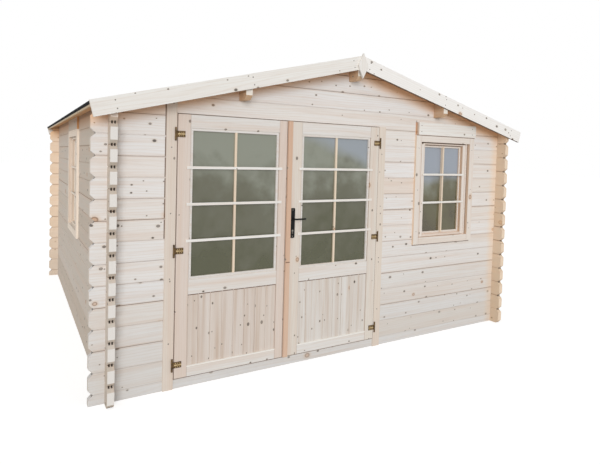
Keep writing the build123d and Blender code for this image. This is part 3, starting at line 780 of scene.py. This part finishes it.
def doorFurniture():
    arms, plates, screws, dark = (bmesh.new() for kind in range(4))
    x, z = lever["x"], lever["z"]
    for face, out in ((leafFace, -1), (leafBack, 1)):
        front = face + out * lever["plateThick"]
        addLever(arms, face, out)
        addPlate(plates, face, out)
        addTurned(plates, (x, front, z), (0, out, 0), lever["rose"], 20)
        keyhole = z - lever["keyDrop"]
        addTurned(dark, (x, front, keyhole), (0, out, 0), lever["cylinder"], 20)
        # the cover of the keyway hangs below it
        y0, y1 = sorted((front, front + out * lever["coverRise"]))
        (low, high), half = lever["cover"], lever["coverHalf"]
        addBoard(dark, (x - half, y0, keyhole - low), (x + half, y1, keyhole - high), 0.0005)
        for end in (lever["plateTop"] - lever["screwInset"], lever["plateBase"] + lever["screwInset"]):
            addScrew(screws, (x, front, end), (0, out, 0), lever["screw"])
    through = [(lever["spindle"], 0.0), (lever["spindle"], leafBack - leafFace)]
    addTurned(arms, (x, leafFace, z), (0, 1, 0), through, 8)
    arm = makePiece("lever_handle", finished(arms), "handle", "black", True)
    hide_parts("door_handle")
    plate = makePiece("lever_plates", finished(plates), "right_door", "black", True)
    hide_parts("handle_plates")
    makePiece("lock_cylinder", finished(dark), "right_door", "steel", True)
    makePiece("plate_screws", finished(screws), "right_door", "steel", True)


doorFurniture()
print("handle made")


def roofPoint(side, run, lift, y):
    # a point on a slope: run is down the slope from the ridge, lift is over the underside of the boards
    outward, height = run * slopeCos + lift * slopeSin, ridgeUnder - run * slopeSin + lift * slopeCos
    return Vector((side * outward, y, height))


def meetPoint(side, run, lift, y):
    # the same, but a run of 0 ends at the upright plane where the two slopes meet
    return roofPoint(side, run if run else -lift * slopeSin / slopeCos, lift, y)


def roofBoards(name, side):
    # tongue and groove boards from ridge to eave, with a vee where two meet below
    look = {"thick": 0.018, "vee": 0.005}
    mesh = bmesh.new()
    thick, vee, pitch = look["thick"], look["vee"], 2 * roofEnd / roofCount
    for index in range(roofCount):
        y0 = -roofEnd + index * pitch
        y1 = y0 + pitch
        outline = [(y0, vee), (y0 + vee, 0.0), (y1 - vee, 0.0), (y1, vee), (y1, thick), (y0, thick)]
        addLoops(mesh, [[meetPoint(side, run, lift, y) for y, lift in outline] for run in (0.0, eaveRun)])
    finish = "roofLeft" if side < 0 else "roofRight"
    piece = makePiece(name + "_roof_planking", finished(mesh), "cabin", finish)
    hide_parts(name + "_roof_boards")


felt = {"base": 0.018, "thick": 0.0025, "lap": (1.08, 1.16), "rise": 0.045, "turn": (0.0004, 0.003),
        "edge": 0.0012, "capRun": 0.13, "nailStep": 0.16, "nailIn": 0.025, "nailEnd": 0.04,
        "nail": [(0.0045, -0.001), (0.0045, 0.0004), (0.0026, 0.0009), (0.0, 0.001)]}


def roofFelt(name, side):
    # two courses, the upper one lapped over the lower, which turns down at the eave, and their nails
    mesh, nails = bmesh.new(), bmesh.new()
    low, top = felt["base"], felt["base"] + felt["thick"]
    lapTop = top + felt["thick"]
    start, end = felt["lap"]
    near, far = (eaveRun + past for past in felt["turn"])
    lower = [(start, low), (near, low), (near, 0.0), (far, 0.0), (far, top - felt["edge"]),
             (far - felt["edge"], top), (start, top)]
    upper = [(0.0, low), (start - felt["rise"], low), (start, top), (end, top), (end, lapTop),
             (start, lapTop), (start - felt["rise"], top), (0.0, top)]
    for section in (lower, upper):
        addLoops(mesh, [[meetPoint(side, run, lift, y) for run, lift in section]
                        for y in (-roofEnd, roofEnd)])
    axis = roofPoint(side, 0.0, 1.0, 0.0) - roofPoint(side, 0.0, 0.0, 0.0)
    length = 2 * (roofEnd - felt["nailEnd"])
    count = int(length / felt["nailStep"])
    rows = [(end - felt["nailIn"], lapTop), (eaveRun - felt["nailIn"], top), (felt["capRun"] - 0.02, lapTop)]
    for run, lift in rows:
        for index in range(count + 1):
            y = -roofEnd + felt["nailEnd"] + index * length / count
            addTurned(nails, roofPoint(side, run, lift, y), axis, felt["nail"], 8)
    sheet = makePiece(name + "_felt_courses", finished(mesh), "cabin", "felt")
    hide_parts(name + "_roof_felt")
    makePiece(name + "_felt_nails", finished(nails), "cabin", "steel", True)


def ridgeCap():
    # a strip folded over the ridge
    mesh = bmesh.new()
    low, high = felt["base"] + felt["thick"], felt["base"] + 2 * felt["thick"]
    run = felt["capRun"]
    loops = []
    for y in (-roofEnd, roofEnd):
        outer = [roofPoint(-1, run, high, y), roofPoint(-1, 0.012, high, y),
                 Vector((0.0, y, ridgeUnder + high / slopeCos - felt["edge"])),
                 roofPoint(1, 0.012, high, y), roofPoint(1, run, high, y)]
        inner = [roofPoint(1, run, low, y), Vector((0.0, y, ridgeUnder + low / slopeCos)),
                 roofPoint(-1, run, low, y)]
        loops.append(outer + inner)
    addLoops(mesh, loops)
    cap = makePiece("ridge_cap", finished(mesh), "cabin", "felt")
    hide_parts("ridge_felt")


for name, side in (("left", -1), ("right", 1)):
    roofBoards(name, side)
    roofFelt(name, side)
ridgeCap()
print("roof boards and felt made")


def floorPlanks():
    # boards laid from front to back over the bearers, with a small vee where two meet
    look = {"end": 1.834, "base": 0.045, "top": 0.064, "vee": 0.0025}
    mesh = bmesh.new()
    base, top, vee = look["base"], look["top"], look["vee"]
    pitch = 2 * floorHalf / floorCount
    for index in range(floorCount):
        x0 = -floorHalf + index * pitch
        x1 = x0 + pitch
        outline = [(x0, base), (x1, base), (x1, top - vee), (x1 - vee, top), (x0 + vee, top), (x0, top - vee)]
        addLoops(mesh, [[Vector((x, y, z)) for x, z in outline] for y in (-look["end"], look["end"])])
    piece = makePiece("floor_planks", finished(mesh), "cabin", "floorWood")
    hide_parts("floor_boards")


floorPlanks()
print("floor planks made")


def cabinScrews():
    # screws of the bargeboards, door posts, front header board and window trims
    look = {"size": 0.0046, "runs": (0.09, 0.99, 1.94), "lifts": (-0.002, -0.055), "bargeFace": 2.04,
            "posts": (-1.491, 0.341), "postHeights": (0.326, 0.776, 1.226, 1.676), "postFace": -1.91,
            "header": ((0.06, 1.03), (0.06, 1.085), (0.73, 1.03), (0.73, 1.085)), "headerFace": -0.018,
            "trims": (0.031, 0.729), "trimHeights": (0.12, 0.5, 0.88), "trimFace": -0.02, "trimSize": 0.8}
    mesh = bmesh.new()
    size = look["size"]
    for out in (-1, 1):
        for side in (-1, 1):
            for run in look["runs"]:
                for lift in look["lifts"]:
                    addScrew(mesh, roofPoint(side, run, lift, out * look["bargeFace"]), (0, out, 0), size)
    for x in look["posts"]:
        for z in look["postHeights"]:
            addScrew(mesh, (x, look["postFace"], z), (0, -1, 0), size)
    place = windowPlaces["front"][0]
    for x, z in look["header"]:
        addScrew(mesh, place @ Vector((x, look["headerFace"], z)), (0, -1, 0), size)
    for name, out in (("front", (0, -1, 0)), ("left", (-1, 0, 0))):
        place = windowPlaces[name][0]
        for x in look["trims"]:
            for z in look["trimHeights"]:
                addScrew(mesh, place @ Vector((x, look["trimFace"], z)), out, size * look["trimSize"])
    makePiece("cabin_screws", finished(mesh), "cabin", "steel", True)


cabinScrews()
print("screws made")


def seenRays(graph):
    # 1 for what the camera sees, also in a mirror or through a pane, else 0
    ray = graph.add("LightPath", out="Is Camera Ray")
    return ray.op("MAXIMUM", ray.other("Is Glossy Ray")).op("MAXIMUM", ray.other("Is Transmission Ray"))


def studio():
    # soft light all round and a wide sun; sky and floor are seen as white
    look = {"worldLight": 0.6, "sun": 1.42, "sunAngle": 32, "sunFrom": (-0.45, -1.0, 0.24),
            "white": (1.0, 1.0, 1.0, 1.0), "floorSize": 60.0, "floorMatt": (0.62, 0.6, 0.57, 1.0),
            "floorPale": (0.95, 0.95, 0.95, 1.0), "floorGlow": 1.55, "glowShare": 0.45}
    world = bpy.data.worlds.new("studio")
    bpy.context.scene.world = world
    world.use_nodes = True
    graph = Graph(world.node_tree)
    soft = graph.add("Background", {}, {"Color": look["white"], "Strength": look["worldLight"]})
    white = graph.add("Background", {}, {"Color": look["white"], "Strength": 1.0})
    both = graph.add("MixShader", {}, (seenRays(graph), soft, white))
    graph.add("OutputWorld", {}, {"Surface": both})

    lamp = bpy.data.lights.new("softSun", "SUN")
    lamp.energy = look["sun"]
    lamp.angle = math.radians(look["sunAngle"])
    sun = bpy.data.objects.new("softSun", lamp)
    sun.rotation_mode = "QUATERNION"
    sun.rotation_quaternion = Vector(look["sunFrom"]).to_track_quat("Z", "Y")
    bpy.context.scene.collection.objects.link(sun)

    mesh = bmesh.new()
    bmesh.ops.create_grid(mesh, x_segments=4, y_segments=4, size=look["floorSize"])
    data = bpy.data.meshes.new("studioFloor")
    mesh.to_mesh(data)
    mesh.free()
    ground = bpy.data.objects.new("studioFloor", data)
    bpy.context.scene.collection.objects.link(ground)
    material, graph = newMaterial("studioFloor")
    matt = graph.add("BsdfDiffuse", {}, {"Color": look["floorMatt"]})
    pale = graph.add("BsdfDiffuse", {}, {"Color": look["floorPale"]})
    glow = graph.add("Emission", {}, {"Color": look["white"], "Strength": look["floorGlow"]})
    lifted = graph.add("MixShader", {}, (look["glowShare"], pale, glow))
    both = graph.add("MixShader", {}, (seenRays(graph), matt, lifted))
    graph.add("OutputMaterial", {}, {"Surface": both})
    data.materials.append(material)


def photoCamera():
    look = {"focal": 487.0, "centre": (292.5, 175.3), "yaw": -0.5223, "pitch": -0.0378, "roll": 0.027,
            "spot": (-2.4231, -5.1748, 1.6327), "width": 600, "height": 464, "sensor": 36.0}
    yaw, pitch, roll = look["yaw"], look["pitch"], look["roll"]
    ahead = Vector((-math.sin(yaw) * math.cos(pitch), math.cos(yaw) * math.cos(pitch), math.sin(pitch)))
    right = Vector((math.cos(yaw), math.sin(yaw), 0.0))
    up = right.cross(ahead)
    tiltedRight = math.cos(roll) * right + math.sin(roll) * up
    tiltedUp = -math.sin(roll) * right + math.cos(roll) * up
    data = bpy.data.cameras.new("photoCamera")
    data.sensor_fit = "HORIZONTAL"
    data.sensor_width = look["sensor"]
    data.lens = look["focal"] / look["width"] * look["sensor"]
    data.shift_x = (look["width"] / 2 - look["centre"][0]) / look["width"]
    data.shift_y = (look["centre"][1] - look["height"] / 2) / look["width"]
    camera = bpy.data.objects.new("photoCamera", data)
    turn = Matrix((tiltedRight, tiltedUp, -ahead)).transposed()
    camera.matrix_world = Matrix.Translation(look["spot"]) @ turn.to_4x4()
    bpy.context.scene.collection.objects.link(camera)
    bpy.context.scene.camera = camera


studio()
photoCamera()
bpy.context.scene.view_settings.view_transform = "Standard"
print("light, floor and camera set")
